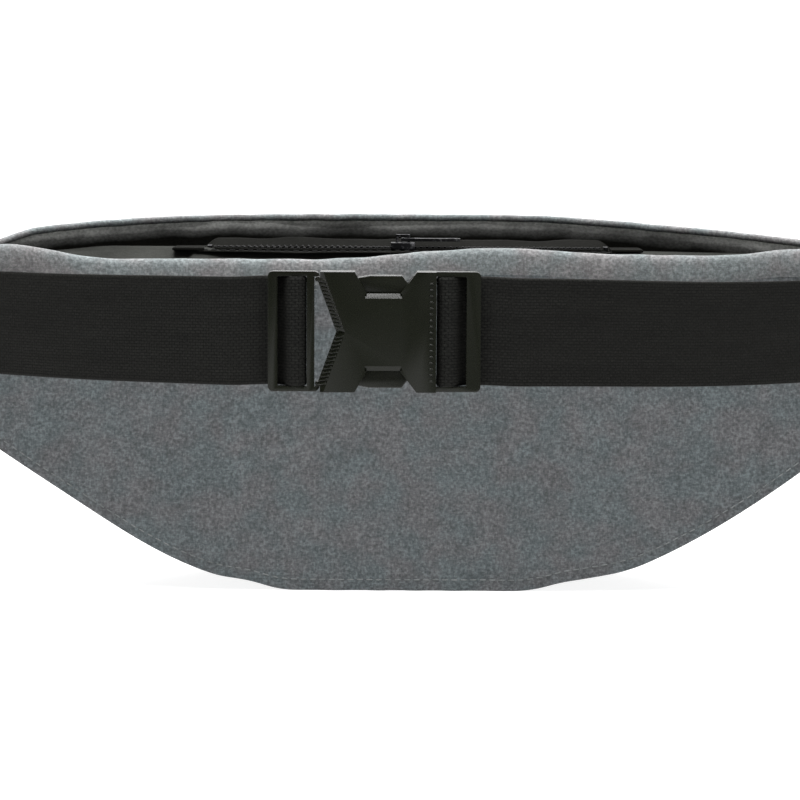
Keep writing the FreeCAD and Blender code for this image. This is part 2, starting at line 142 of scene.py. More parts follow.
# ------------------------------------------------------------------ shape of the pouch
def smooth(value):
    """Eases from 0 to 1."""
    value = min(max(value, 0.0), 1.0)
    return value * value * (3 - 2 * value)


def swell(x, centre, width):
    """1 at the centre, fading to 0 on both sides over about the width."""
    return math.exp(-((x - centre) / width) ** 2)


def lower_seam(x):
    """Lower seam, which rides a little higher on the left than on the right."""
    run = (abs(x) - BASE_HALF) / (TIP_REACH - BASE_HALF)
    left_lift = 2.9 * swell(x, -138.0, 34.0)
    right_sag = 2.0 * smooth((x - 74.0) / 24.0) * smooth((200.0 - x) / 35.0)
    corner_lift = 1.4 * swell(abs(x), 65.0, 10.0)
    return max(TIP_LOW * max(run, 0.0) ** SEAM_POWER + left_lift - right_sag + corner_lift, 0.0)


def taper(x):
    """1 over most of the pouch, 0 at a wing tip."""
    return smooth((TIP_REACH - abs(x)) / 70.0)


def back_y(x):
    """Back panel's place in depth, which curves forward to the hips at the wings."""
    return BACK_Y - WRAP * (abs(x) / TIP_REACH) ** WRAP_POWER


def front_y(x):
    """Far panel's place in depth."""
    fullness = (1 - min(abs(x) / TIP_REACH, 1.0) ** 2) ** 0.9
    return back_y(x) + TIP_DEPTH + (DEPTH - TIP_DEPTH) * fullness


def near_rim_top(x):
    """The wearer-side rim sags left of the middle and lifts towards both wings."""
    middle_lift = 2.4 * swell(x, 38.0, 30.0)
    left_sag = 2.5 * smooth((12.0 - x) / 50.0) * smooth((x + 158.0) / 40.0)
    wing_lift = 3.6 * smooth((abs(x) - 122.0) / 42.0)
    wing_drop = 8.0 * smooth((abs(x) - 166.0) / 39.0)
    return BACK_HEIGHT - 1.9 + middle_lift - left_sag + wing_lift - wing_drop


def far_rim_top(x):
    """The far rim is highest left of the middle and droops to the right."""
    fall = (FRONT_HEIGHT - TIP_HIGH) * min(abs(x) / TIP_REACH, 1.0) ** 4
    droop = 2.6 * smooth((x - 45.0) / 80.0) * smooth((TIP_REACH - x) / 60.0)
    left_fall = 3.0 * smooth((-x - 153.0) / 20.0)
    return FRONT_HEIGHT - fall - droop - left_fall


def rumple(x, y, z, size, seed):
    """Soft random bulge between -1 and 1 with the given size in mm."""
    return noise.noise(Vector((x / size + seed, y / size, z / size)))


# ------------------------------------------------------------------ mesh helpers
def new_piece(name, verts, faces, material, uvs=None, flat=False):
    """Object made of points in mm and faces, with UVs in metres where they are given."""
    mesh = bpy.data.meshes.new(name)
    mesh.from_pydata([Vector(v) * MM for v in verts], [], faces)
    mesh.validate()
    mesh.polygons.foreach_set("use_smooth", [not flat] * len(mesh.polygons))
    if uvs is not None:
        layer = mesh.uv_layers.new(name="along")
        for loop in mesh.loops:
            layer.data[loop.index].uv = uvs[loop.vertex_index]
    mesh.materials.append(material)
    piece = bpy.data.objects.new(name, mesh)
    bpy.context.scene.collection.objects.link(piece)
    return piece


def grid(name, rows, material, close=False, uvs=None, flip=False):
    """Skin over rows of points; close joins the last point of each row to its first."""
    wide = len(rows[0])
    verts = [point for row in rows for point in row]
    faces = []
    for i in range(len(rows) - 1):
        for j in range(wide if close else wide - 1):
            k = (j + 1) % wide
            faces.append((i * wide + j, i * wide + k, (i + 1) * wide + k, (i + 1) * wide + j))
    if close:
        faces.append(tuple(range(wide))[::-1])
        faces.append(tuple((len(rows) - 1) * wide + j for j in range(wide)))
    if flip:
        faces = [face[::-1] for face in faces]
    return new_piece(name, verts, faces, material, uvs)


def thicken(piece, thick, inner_material=None, offset=-1.0):
    """Gives a skin its cloth thickness, with the other side in its own material."""
    shell = piece.modifiers.new("thickness", "SOLIDIFY")
    shell.thickness = thick * MM
    shell.offset = offset
    if inner_material is not None:
        piece.data.materials.append(inner_material)
        shell.material_offset = 1
        shell.material_offset_rim = 0
    return piece


def spaced(start, end, count):
    """Evenly spaced numbers, both ends among them."""
    return [start + (end - start) * i / (count - 1) for i in range(count)]


def sweep(name, stations, profile, material):
    """Carries a closed profile of (sideways, up) pairs along stations of (point, sideways, up)."""
    rows = []
    uvs = []
    run = 0.0
    last = None
    edges = [0.0]
    for before, after in zip(profile, profile[1:]):
        edges.append(edges[-1] + math.hypot(after[0] - before[0], after[1] - before[1]))
    for point, sideways, up in stations:
        if last is not None:
            run += (point - last).length
        last = point
        rows.append([point + sideways * a + up * b for a, b in profile])
        uvs.extend((run * MM, e * MM) for e in edges)
    return grid(name, rows, material, close=True, uvs=uvs)


def oval(half_a, half_b, count=16, power=2.0):
    """Rounded profile; a power over 2 squares it."""
    points = []
    for i in range(count):
        t = 2 * math.pi * i / count
        c, s = math.cos(t), math.sin(t)
        points.append((half_a * math.copysign(abs(c) ** (2 / power), c),
                       half_b * math.copysign(abs(s) ** (2 / power), s)))
    return points


def round_corners(work, radius):
    """Rounds the outermost edges that run along Y, seen as the corners of the outline."""
    low_x = min(v.co.x for v in work.verts)
    high_x = max(v.co.x for v in work.verts)
    low_z = min(v.co.z for v in work.verts)
    high_z = max(v.co.z for v in work.verts)
    corners = []
    for edge in work.edges:
        a, b = (v.co for v in edge.verts)
        along_y = abs(a.x - b.x) < 1e-5 and abs(a.z - b.z) < 1e-5
        at_side = min(abs(a.x - low_x), abs(a.x - high_x)) < 1e-5
        at_top = min(abs(a.z - low_z), abs(a.z - high_z)) < 1e-5
        if along_y and at_side and at_top:
            corners.append(edge)
    bmesh.ops.bevel(work, geom=corners, offset=radius * MM, segments=5, profile=0.5, affect="EDGES")


def softened_copy(node, name, material, width, corner=0.0):
    """Copy of a CAD node's faces with edges rounded by the width, and outline corners by corner."""
    source = bpy.data.objects[node]
    work = bmesh.new()
    work.from_mesh(source.data)
    bmesh.ops.remove_doubles(work, verts=work.verts, dist=0.000002)
    bmesh.ops.dissolve_limit(work, angle_limit=math.radians(1.0), verts=work.verts, edges=work.edges)
    if corner:
        round_corners(work, corner)
    mesh = bpy.data.meshes.new(name)
    work.to_mesh(mesh)
    work.free()
    mesh.materials.clear()
    mesh.materials.append(material)
    for face in mesh.polygons:
        face.material_index = 0
        face.use_smooth = True
    piece = bpy.data.objects.new(name, mesh)
    bpy.context.scene.collection.objects.link(piece)
    bevel = piece.modifiers.new("rounded", "BEVEL")
    bevel.width = width * MM
    bevel.segments = 3
    bevel.limit_method = "ANGLE"
    bevel.angle_limit = math.radians(28)
    bevel.use_clamp_overlap = True
    bevel.harden_normals = True
    return piece


# ------------------------------------------------------------------ materials
class Shader:
    """Small helper that builds one node material."""

    def __init__(self, name, rough, specular=0.4, metallic=0.0):
        self.material = bpy.data.materials.new(name)
        self.material.use_nodes = True
        self.tree = self.material.node_tree
        self.bsdf = self.tree.nodes["Principled BSDF"]
        self.bsdf.inputs["Roughness"].default_value = rough
        self.bsdf.inputs["Specular IOR Level"].default_value = specular
        self.bsdf.inputs["Metallic"].default_value = metallic

    def node(self, kind, **values):
        """New node; in_X=value sets its input X, and any other name sets a property."""
        made = self.tree.nodes.new(kind)
        for key, value in values.items():
            if hasattr(made, key) and not key.startswith("in_"):
                setattr(made, key, value)
            else:
                made.inputs[key[3:].replace("_", " ")].default_value = value
        return made

    def link(self, source, target):
        """Joins two sockets."""
        self.tree.links.new(source, target)
        return self

    def coordinates(self, kind="Object", scale=(1, 1, 1)):
        """Texture coordinates, scaled along each axis."""
        place = self.node("ShaderNodeTexCoord")
        mapping = self.node("ShaderNodeMapping")
        mapping.inputs["Scale"].default_value = scale
        self.link(place.outputs[kind], mapping.inputs["Vector"])
        return mapping.outputs["Vector"]

    def noise(self, scale, detail=2.0, rough=0.5, kind="Object"):
        """Noise whose scale gives how many grains fit in a metre along each axis."""
        made = self.node("ShaderNodeTexNoise", in_Scale=1.0, in_Detail=detail, in_Roughness=rough)
        self.link(self.coordinates(kind, scale), made.inputs["Vector"])
        return made.outputs["Fac"]

    def math(self, operation, a, b):
        """Result of a sum on sockets or numbers."""
        made = self.node("ShaderNodeMath", operation=operation)
        for socket, value in zip(made.inputs, (a, b)):
            if isinstance(value, (int, float)):
                socket.default_value = value
            else:
                self.link(value, socket)
        return made.outputs[0]

    def ramp(self, fac, *stops):
        """Colour ramp with (place, colour) stops."""
        made = self.node("ShaderNodeValToRGB")
        elements = made.color_ramp.elements
        while len(elements) < len(stops):
            elements.new(0.5)
        for element, (place, colour) in zip(elements, stops):
            element.position = place
            element.color = (*colour, 1.0)
        self.link(fac, made.inputs["Fac"])
        return made.outputs["Color"]

    def tinted(self, colour, tint):
        """One colour multiplied by another."""
        made = self.node("ShaderNodeVectorMath", operation="MULTIPLY")
        self.link(colour, made.inputs[0])
        self.link(tint, made.inputs[1])
        return made.outputs[0]

    def part(self, axis):
        """One of the piece's own coordinates, in metres."""
        place = self.node("ShaderNodeTexCoord")
        parts = self.node("ShaderNodeSeparateXYZ")
        self.link(place.outputs["Object"], parts.inputs["Vector"])
        return parts.outputs[axis]

    def fade(self, value, low, high):
        """0 to 1 as a value runs from low to high."""
        made = self.node("ShaderNodeMapRange", interpolation_type="SMOOTHSTEP")
        made.inputs["From Min"].default_value = low
        made.inputs["From Max"].default_value = high
        self.link(value, made.inputs["Value"])
        return made.outputs["Result"]

    def colour(self, socket):
        """Sets the base colour."""
        return self.link(socket, self.bsdf.inputs["Base Color"])

    def roughness(self, fac, low, high):
        """Roughness that runs from low to high with fac."""
        made = self.node("ShaderNodeMapRange", in_To_Min=low, in_To_Max=high)
        self.link(fac, made.inputs["Value"])
        return self.link(made.outputs["Result"], self.bsdf.inputs["Roughness"])

    def bump(self, height, distance, strength=1.0):
        """Surface relief; the distance is in metres."""
        made = self.node("ShaderNodeBump", in_Strength=strength, in_Distance=distance)
        self.link(height, made.inputs["Height"])
        return self.link(made.outputs["Normal"], self.bsdf.inputs["Normal"])


def scaled(colour, factor):
    """Lighter or darker version of a colour."""
    return tuple(channel * factor for channel in colour)


def heather(name, colour, contrast=0.42, top_highlight=1.0):
    """Cloth of light and dark fibres with a faint drift of hue, and a painted highlight that lightens what
    faces up.
    """
    s = Shader(name, rough=0.92, specular=0.12)
    weft = s.noise((620, 620, 1500), detail=3.0, rough=0.6)
    warp = s.noise((1500, 1500, 700), detail=3.0, rough=0.6)
    fleck = s.noise((760, 760, 760), detail=2.0)
    patch = s.noise((95, 95, 95), detail=3.0, rough=0.6)
    yarn = s.math("ADD", s.math("MULTIPLY", weft, 0.5), s.math("MULTIPLY", warp, 0.5))
    mixed = s.math("ADD", s.math("MULTIPLY", yarn, 0.56), s.math("MULTIPLY", fleck, 0.32))
    mixed = s.math("ADD", mixed, s.math("MULTIPLY", patch, 0.12))
    tone = s.ramp(mixed, (0.4, scaled(colour, 1 - contrast)), (0.5, colour),
                  (0.6, scaled(colour, 1 + 1.5 * contrast)))
    drift = s.ramp(s.noise((70, 70, 70), detail=2.0),
                   (0.38, (1.05, 0.985, 0.985)), (0.62, (0.95, 1.01, 1.015)))
    # Painted highlight: the colour grows lighter where the surface faces up, standing in for light from
    # above.
    facing = s.node("ShaderNodeSeparateXYZ")
    s.link(s.node("ShaderNodeNewGeometry").outputs["Normal"], facing.inputs["Vector"])
    painted_top_light = s.ramp(facing.outputs["Z"], (0.35, (1.0, 1.0, 1.0)), (0.95, (top_highlight, top_highlight, top_highlight)))
    s.colour(s.tinted(s.tinted(tone, drift), painted_top_light))
    s.bump(yarn, 0.0005, 0.5)
    s.bsdf.inputs["Sheen Weight"].default_value = 0.12
    s.bsdf.inputs["Sheen Roughness"].default_value = 0.5
    return s.material


def plain_cloth(name, colour, grain=1500.0, rough=0.9, depth=0.0002):
    """Fine plain-weave nylon."""
    s = Shader(name, rough=rough, specular=0.03)
    weave = s.math("MULTIPLY", s.noise((grain, grain, grain * 0.3), detail=1.0),
                   s.noise((grain * 0.3, grain, grain), detail=1.0))
    wear = s.noise((60, 60, 60), detail=3.0)
    s.colour(s.ramp(s.math("ADD", s.math("MULTIPLY", weave, 0.6), s.math("MULTIPLY", wear, 0.5)),
                    (0.25, scaled(colour, 0.72)), (0.6, scaled(colour, 1.25))))
    s.bump(weave, depth, 0.6)
    return s.material


def painted_shade_wall(name, rim_light, lining):
    """Inside of a wall, with painted light and shade: a painted highlight follows the far rim and fades
    into painted dark shade lower down in the mouth.
    """
    s = Shader(name, rough=0.9, specular=0.05)
    outward = s.math("DIVIDE", s.math("ABSOLUTE", s.part("X"), 0.0), TIP_REACH * MM)
    fall = s.math("MULTIPLY", s.math("POWER", outward, 4.0), (FRONT_HEIGHT - TIP_HIGH) * MM)
    droop = s.math("MULTIPLY", s.fade(s.part("X"), 0.045, 0.125), 0.0026)
    level = s.math("ADD", s.math("ADD", s.part("Z"), fall), droop)
    cloud = s.math("MULTIPLY", s.math("SUBTRACT", s.noise((60, 60, 110), detail=2.0), 0.5), 0.004)
    above = s.fade(s.math("ADD", level, cloud), 0.1415, 0.1515)
    # Painted light and shade: pale near the far rim, darkening to near black lower down where the mouth is
    # in shade.
    shade = s.ramp(above, (0.08, lining), (0.5, scaled(rim_light, 0.17)), (1.0, rim_light))
    grain = s.noise((700, 700, 1100), detail=3.0)
    mottle = s.ramp(grain, (0.35, (0.75, 0.75, 0.75)), (0.65, (1.2, 1.2, 1.2)))
    s.colour(s.tinted(shade, mottle))
    s.bump(grain, 0.0003, 0.5)
    return s.material


def webbing(name, colour):
    """Ribbed webbing: rows of staggered stitches along the strap."""
    s = Shader(name, rough=0.78, specular=0.1)
    rows = s.node("ShaderNodeTexBrick", in_Scale=1.0, in_Mortar_Size=0.00016, in_Mortar_Smooth=1.0,
                  in_Brick_Width=0.0021, in_Row_Height=0.00105)
    s.link(s.coordinates("UV"), rows.inputs["Vector"])
    fuzz = s.noise((1800, 1800, 1800), detail=2.0)
    long_wear = s.noise((26, 160, 1), detail=3.0, kind="UV")
    tone = s.math("ADD", s.math("MULTIPLY", fuzz, 0.55), s.math("MULTIPLY", long_wear, 0.16))
    tone = s.math("ADD", tone, 0.08)
    tone = s.math("SUBTRACT", tone, s.math("MULTIPLY", rows.outputs["Fac"], 0.34))
    s.colour(s.ramp(tone, (0.08, scaled(colour, 0.35)), (0.36, colour), (0.6, scaled(colour, 2.6))))
    height = s.math("SUBTRACT", s.math("MULTIPLY", fuzz, 0.25), rows.outputs["Fac"])
    s.bump(height, 0.0004, 0.85)
    return s.material


def moulded(name, colour, rough=0.24, specular=0.22):
    """Satin moulded plastic with a faint spark-eroded grain."""
    s = Shader(name, rough=rough, specular=specular)
    grain = s.noise((2600, 2600, 2600), detail=2.0)
    cloud = s.noise((55, 55, 55), detail=2.0)
    s.colour(s.ramp(cloud, (0.3, scaled(colour, 0.9)), (0.7, scaled(colour, 1.12))))
    s.roughness(grain, rough - 0.06, rough + 0.1)
    s.bump(grain, 0.00003, 0.2)
    return s.material


def metal(name, colour, rough=0.3):
    """Dark plated metal with brighter worn patches."""
    s = Shader(name, rough=rough, specular=0.5, metallic=1.0)
    wear = s.noise((420, 420, 420), detail=4.0, rough=0.7)
    s.colour(s.ramp(wear, (0.52, colour), (0.74, scaled(colour, 9.0))))
    s.roughness(wear, rough - 0.08, rough + 0.15)
    s.bump(wear, 0.00003, 0.4)
    return s.material


def foam(name, colour):
    """Closed-cell foam with fine cells."""
    s = Shader(name, rough=0.95, specular=0.1)
    cells = s.node("ShaderNodeTexVoronoi", in_Scale=900.0)
    s.link(s.coordinates(), cells.inputs["Vector"])
    s.colour(s.ramp(cells.outputs["Distance"], (0.0, scaled(colour, 0.8)), (0.6, colour)))
    s.bump(cells.outputs["Distance"], 0.0002, 0.6)
    return s.material


BODY = heather("body_fabric", (0.087, 0.0945, 0.098), contrast=0.38)
# The rims use the body's heather painted lighter, standing in for light from above on the rolls, with a
# stronger painted highlight where they face up.
RIM_PAINTED_LIGHT = heather("rim_fabric", (0.134, 0.14, 0.141), contrast=0.36, top_highlight=1.5)
BINDING = heather("seam_fabric", (0.082, 0.089, 0.093))
# Inside of the walls: painted highlight along the far rim, painted shade deeper in the mouth.
INNER = painted_shade_wall("inner_wall", (0.7, 0.705, 0.68), (0.006, 0.006, 0.005))
MOUTH = plain_cloth("mouth_fabric", (0.034, 0.035, 0.032))
TAPE = plain_cloth("zip_tape", (0.009, 0.009, 0.008))
TEETH = moulded("zip_teeth", (0.005, 0.005, 0.005), rough=0.5, specular=0.15)
METAL = metal("zip_metal", (0.022, 0.022, 0.023))
WEB = webbing("webbing", (0.0073, 0.0074, 0.0066))
PLASTIC = moulded("buckle_plastic", (0.005, 0.006, 0.0027))
THREAD = plain_cloth("thread", (0.16, 0.17, 0.17), grain=2400.0)
DARK_THREAD = plain_cloth("dark_thread", (0.02, 0.02, 0.02), grain=2400.0)
LINING = plain_cloth("lining", (0.07, 0.074, 0.068))
FOAM = foam("foam", (0.2, 0.2, 0.2))


# ------------------------------------------------------------------ pouch
def back_point(x, height):
    """Point on the padded back, height running from the lower seam (0) to the rim (1)."""
    low = lower_seam(x)
    high = near_rim_top(x) - 3.0
    z = low + (high - low) * height
    crown = (math.sin(math.pi * min(height, 1.0) ** 0.8) + 0.02) ** 0.55 if 0 < height < 1 else 0.0
    y = back_y(x) - 4.2 * crown * taper(x)
    edge = math.exp(-(z - low) / 9.0)
    y += (0.7 * rumple(x, 0, z, 60.0, 3.0) + 0.25 * rumple(x, 0, z, 14.0, 9.0)) * taper(x) * (1 - edge)
    y -= 0.45 * edge * math.sin(x / 3.1 + 1.7 * math.sin(x / 17.0)) * taper(x)
    return x, y, z


def front_point(x, height):
    """Point on the front panel, which is fuller than the back."""
    low = lower_seam(x)
    high = far_rim_top(x) - 1.6
    z = low + (high - low) * height
    crown = math.sin(math.pi * height ** 0.9) ** 0.6 if 0 < height < 1 else 0.0
    y = front_y(x) + 5.5 * crown * taper(x)
    y += (1.6 * rumple(x, 5, z, 52.0, 13.0) + 0.5 * rumple(x, 5, z, 17.0, 29.0)) * taper(x)
    y -= 0.5 * math.exp(-(z - low) / 10.0) * math.sin(x / 3.4) * taper(x)
    return x, y, z


def wall(name, surface, xs, heights, flip=False):
    """Lined wall of the pouch."""
    rows = [[surface(x, h) for h in heights] for x in xs]
    return thicken(grid(name, rows, BODY, flip=flip), WALL_THICK, INNER)


def base_point(x, across):
    """Point on the base, across running from the back (0) to the front (1); it rests on the floor."""
    y = back_y(x) + (front_y(x) - back_y(x)) * across
    bulge = 0.0
    if abs(x) >= BASE_HALF:
        bulge = 1.6 * math.sin(math.pi * across) * smooth((abs(x) - BASE_HALF) / 30.0)
    z = lower_seam(x) + 0.25 - bulge * 0.4 + 0.2 * rumple(x, y, 0, 18.0, 41.0)
    return x, y, max(z, 0.15)


def cloth_panels():
    """Back, front and base, sewn along the lower seam."""
    xs = spaced(-TIP_REACH, TIP_REACH, 221)
    heights = [smooth(h) * 0.35 + h * 0.65 for h in spaced(0.0, 1.0, 64)]
    back = wall("back_cloth", back_point, xs, heights, flip=True)
    front = wall("front_cloth", front_point, xs, heights)
    base_rows = [[base_point(x, across) for across in spaced(0.0, 1.0, 26)]
                 for x in spaced(-TIP_REACH + 1, TIP_REACH - 1, 200)]
    base = grid("base_cloth", base_rows, BODY)
    thicken(base, BASE_THICK, INNER)
    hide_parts("back_panel")
    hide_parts("front_panel")
    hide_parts("base_gusset")
    for piece in (back, front, base):
        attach(piece, "pouch")


def seam_stations(side_y, height, reach, count):
    """Stations along X with their sideways and up directions."""
    made = []
    for x in spaced(-reach, reach, count):
        point = Vector((x, side_y(x), height(x)))
        ahead = Vector((x + 0.5, side_y(x + 0.5), height(x + 0.5)))
        behind = Vector((x - 0.5, side_y(x - 0.5), height(x - 0.5)))
        along = (ahead - behind).normalized()
        sideways = Vector((-along.y, along.x, 0)).normalized()
        made.append((point, sideways, along.cross(sideways) * -1))
    return made


def near_roll_y(x):
    """Middle of the near rim's roll in depth, slightly uneven."""
    return back_y(x) + 1.4 + 0.5 * rumple(x, 0, 0, 19.0, 7.0)


def near_roll_z(x):
    """Height of the near rim's roll."""
    return near_rim_top(x) - NEAR_ROLL_DROP + 0.35 * rumple(x, 0, 0, 11.0, 3.0)


def far_roll_y(x):
    """Middle of the far rim's roll in depth."""
    return front_y(x) - 0.6 + 0.3 * rumple(x, 9, 0, 13.0, 19.0)


def far_roll_z(x):
    """Height of the far rim's roll."""
    return far_rim_top(x) - FAR_ROLL_DROP + 0.3 * rumple(x, 9, 0, 9.0, 23.0)


def rims():
    """Rolled cloth edges round the mouth, fatter on the wearer's side."""
    rows = (("near_rim_roll", "back_rim", near_roll_y, near_roll_z, oval(*NEAR_ROLL, 22, 2.3)),
            ("far_rim_roll", "front_rim", far_roll_y, far_roll_z, oval(*FAR_ROLL, 18, 2.2)))
    for name, node, side_y, height, profile in rows:
        stations = seam_stations(side_y, height, TIP_REACH - ROLL_INSET, 260)
        upright = [(point, sideways, UP) for point, sideways, _ in stations]
        roll = sweep(name, upright, profile, RIM_PAINTED_LIGHT)
        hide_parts(node)
        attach(roll, "pouch")


def seam_bindings():
    """Corded seams where the base meets the two panels."""
    for name, side in (("back_seam_cord", back_y), ("front_seam_cord", front_y)):
        cord = seam_stations(side, lambda x: lower_seam(x) + SEAM_CORD_RISE, TIP_REACH - 1.0, 240)
        piece = sweep(name, cord, oval(SEAM_CORD, SEAM_CORD, 10), BINDING)
        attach(piece, "pouch")


def add_stitch(verts, faces, middle, along, side, out, ring=6):
    """One thread stitch: a short bar with thin ends that dip into the cloth."""
    start = len(verts)
    for end, size in ((-0.5, 0.45), (-0.36, 1.0), (0.36, 1.0), (0.5, 0.45)):
        centre = middle + along * STITCH_LONG * end - out * STITCH_RADIUS * (1.0 - size)
        for k in range(ring):
            angle = 2 * math.pi * k / ring
            spoke = side * math.cos(angle) + out * math.sin(angle)
            verts.append(centre + spoke * STITCH_RADIUS * size)
    for level in range(3):
        for k in range(ring):
            n = (k + 1) % ring
            first = start + level * ring
            faces.append((first + k, first + n, first + ring + n, first + ring + k))
    faces.append(tuple(start + k for k in range(ring))[::-1])
    faces.append(tuple(start + 3 * ring + k for k in range(ring)))


def stitch_row(name, route, material):
    """Row of thread stitches along a route of (point, outward normal) pairs."""
    verts = []
    faces = []
    run = 0.0
    place = STITCH_GAP
    for (a, out), (b, _) in zip(route, route[1:]):
        span = (b - a).length
        while place <= run + span and span > 0:
            along = (b - a).normalized()
            side = along.cross(out).normalized()
            middle = a + along * (place - run) + out * STITCH_RADIUS * 0.4
            add_stitch(verts, faces, middle, along, side, out)
            place += STITCH_LONG + STITCH_GAP
        run += span
    piece = new_piece(name, verts, faces, material)
    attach(piece, "pouch")


def pouch_stitching():
    """Topstitching below both rims and above the lower seam."""
    reach = TIP_REACH - STITCH_INSET
    rows = (("near_rim_stitches", back_point, 0.93, -1), ("far_rim_stitches", front_point, 0.955, 1))
    for name, surface, height, facing in rows:
        out = Vector((0, facing, 0))
        route = [(Vector(surface(x, height)), out) for x in spaced(-reach, reach, 300)]
        stitch_row(name, route, THREAD)
    rows = (("back_seam_stitches", back_point, -1), ("front_seam_stitches", front_point, 1))
    for name, surface, facing in rows:
        route = []
        for x in spaced(-reach, reach, 320):
            height = SEAM_STITCH_RISE / (near_rim_top(x) - lower_seam(x))
            route.append((Vector(surface(x, height)), Vector((0, facing, 0))))
        stitch_row(name, route, THREAD)


# ------------------------------------------------------------------ mouth and zip
def mouth_half_gap(x):
    """From the zip's middle to each row of teeth."""
    undone = (x - MOUTH_START) / (MOUTH_END - MOUTH_START)
    if not 0.0 < undone < 1.0:
        return CLOSED_HALF_GAP
    return CLOSED_HALF_GAP + OPEN_HALF_GAP * math.sin(math.pi * undone) ** 1.5


def mouth_row(x, side):
    """Points across one top panel at x, from its rim (side -1 near, 1 far) to the zip."""
    wall_y = back_y(x) + 3.5 if side < 0 else front_y(x) - 2.2
    middle = min(max(ZIP_Y, back_y(x) + 4.0), front_y(x) - 3.0)
    inner = middle + side * (mouth_half_gap(x) + 4.0 if abs(x) < 90.0 else 0.0)
    if (inner - wall_y) * side > 0:
        inner = wall_y
    wall_z = near_rim_top(x) - NEAR_ROLL_DROP if side < 0 else MOUTH_FAR_EDGE
    left_lip = 1.6 * smooth((-x - 76.0) / 10.0) * smooth((x + 150.0) / 26.0)
    zip_z = TAPE_Z + left_lip
    row = []
    for t in spaced(0.0, 1.0, 22):
        y = wall_y + (inner - wall_y) * t
        slack = math.sin(math.pi * t) * smooth((abs(y - wall_y) - 7.0) / 8.0)
        sag = -2.0 * taper(x) + 0.8 * rumple(x, t * 30.0, 0, 15.0, 61.0)
        z = wall_z + (zip_z - wall_z) * t + sag * slack
        over_foam = y > front_y(x) - FOAM_REACH
        row.append((x, y, max(z, LINING_TOP) if over_foam else z))
    return row


def mouth_panels():
    """Cloth from each rim down to the zip, clear of the foam and lining in the far panel."""
    reach = TIP_REACH - 14.0
    for name, node, side in (("mouth_rear", "top_panel_rear", -1), ("mouth_front", "top_panel_front", 1)):
        rows = [mouth_row(x, side) for x in spaced(-reach, reach, 200)]
        piece = grid(name, rows, MOUTH)
        thicken(piece, MOUTH_THICK, None, offset=0.0)
        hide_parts(node)
        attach(piece, "pouch")


def tape_row(x, side):
    """Points across one zip tape at x; the far tape tilts up towards its outer edge."""
    row = []
    for t in spaced(0.0, 1.0, 12):
        y = ZIP_Y + side * (mouth_half_gap(x) + 1.2 + TAPE_WIDTH * t)
        wave = t * rumple(x, side * 9.0, 0, 16.0, 77.0)
        tilt = TAPE_TILT * t * smooth((88.0 - abs(x)) / 8.0) if side > 0 else 0.0
        row.append((x, y, TAPE_Z + 0.35 + wave * (0.5 + 0.6 * (side > 0)) + tilt))
    return row


def zip_tapes():
    """Woven tapes with a slightly wavy outer edge and a row of stitches each."""
    for place, side in (("rear", -1), ("front", 1)):
        rows = [tape_row(x, side) for x in spaced(-TAPE_HALF, TAPE_HALF, 150)]
        tape = grid("zip_tape_cloth_" + place, rows, TAPE)
        thicken(tape, TAPE_THICK, None, offset=0.0)
        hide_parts("zip_tape_" + place)
        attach(tape, "pouch")
        route = [(Vector((x, ZIP_Y + side * (mouth_half_gap(x) + 6.6), TAPE_Z + 0.75)), UP)
                 for x in spaced(-86.0, 86.0, 120)]
        stitch_row("zip_stitches_" + place, route, DARK_THREAD)


def add_tooth(verts, faces, middle, root, side):
    """One moulded tooth: a rounded head on a short neck that grips the tape's cord."""
    outline = [(-0.5, 0.0), (-0.5, 0.9), (-0.68, 1.4), (-0.5, 1.95), (0.5, 1.95), (0.68, 1.4),
               (0.5, 0.9), (0.5, 0.0)]
    start = len(verts)
    for level, shrink in ((0.0, 0.9), (0.25, 1.0), (1.3, 1.0), (1.6, 0.78)):
        for a, b in outline:
            y = root - side * (1.0 + (b - 1.0) * shrink)
            verts.append((middle + a * shrink, y, TOOTH_Z + level))
    wide = len(outline)
    for level in range(3):
        for k in range(wide):
            n = (k + 1) % wide
            first = start + level * wide
            quad = (first + k, first + n, first + wide + n, first + wide + k)
            faces.append(quad if side < 0 else quad[::-1])
    bottom = tuple(start + k for k in range(wide))
    top = tuple(start + 3 * wide + k for k in range(wide))
    faces.append(bottom[::-1] if side < 0 else bottom)
    faces.append(top if side < 0 else top[::-1])


def zip_teeth():
    """Two rows of teeth, half a pitch apart, each on a thin cord along its tape's edge."""
    count = round(2 * TEETH_HALF / TOOTH_PITCH) + 1
    for place, side in (("rear", -1), ("front", 1)):
        verts = []
        faces = []
        for x in spaced(-TEETH_HALF, TEETH_HALF, count):
            middle = x + side * TOOTH_PITCH / 4
            root = ZIP_Y + side * (mouth_half_gap(middle) + 2.0)
            add_tooth(verts, faces, middle, root, side)
        piece = new_piece("zip_row_" + place, verts, faces, TEETH, flat=True)
        cord_rows = [(Vector((x, ZIP_Y + side * (mouth_half_gap(x) + 1.9), TOOTH_Z + 0.45)),
                      Vector((0, 1, 0)), UP) for x in spaced(-84.0, 84.0, 120)]
        cord = sweep("zip_cord_" + place, cord_rows, oval(0.55, 0.5, 8), TAPE)
        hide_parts("zip_teeth_" + place)
        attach(piece, "pouch")
        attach(cord, "pouch")


def zip_hardware():
    """Slider, pull, stops and the cloth tabs over the tape ends."""
    rows = (("zip_slider", "slider_body", METAL, 0.28, "zip_slider", "zip_metal"),
            ("zip_pull", "slider_pull", METAL, 0.3, "zip_pull", "zip_metal"),
            ("zip_stops", "chain_stops", METAL, 0.35, "pouch", "zip_metal"),
            ("zip_end_tabs", "tape_end_tabs", TAPE, 0.4, "pouch", "zip_tape"))
    for node, name, material, width, body, slot in rows:
        piece = softened_copy(node, name, material, width)
        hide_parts(node)
        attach(piece, body)


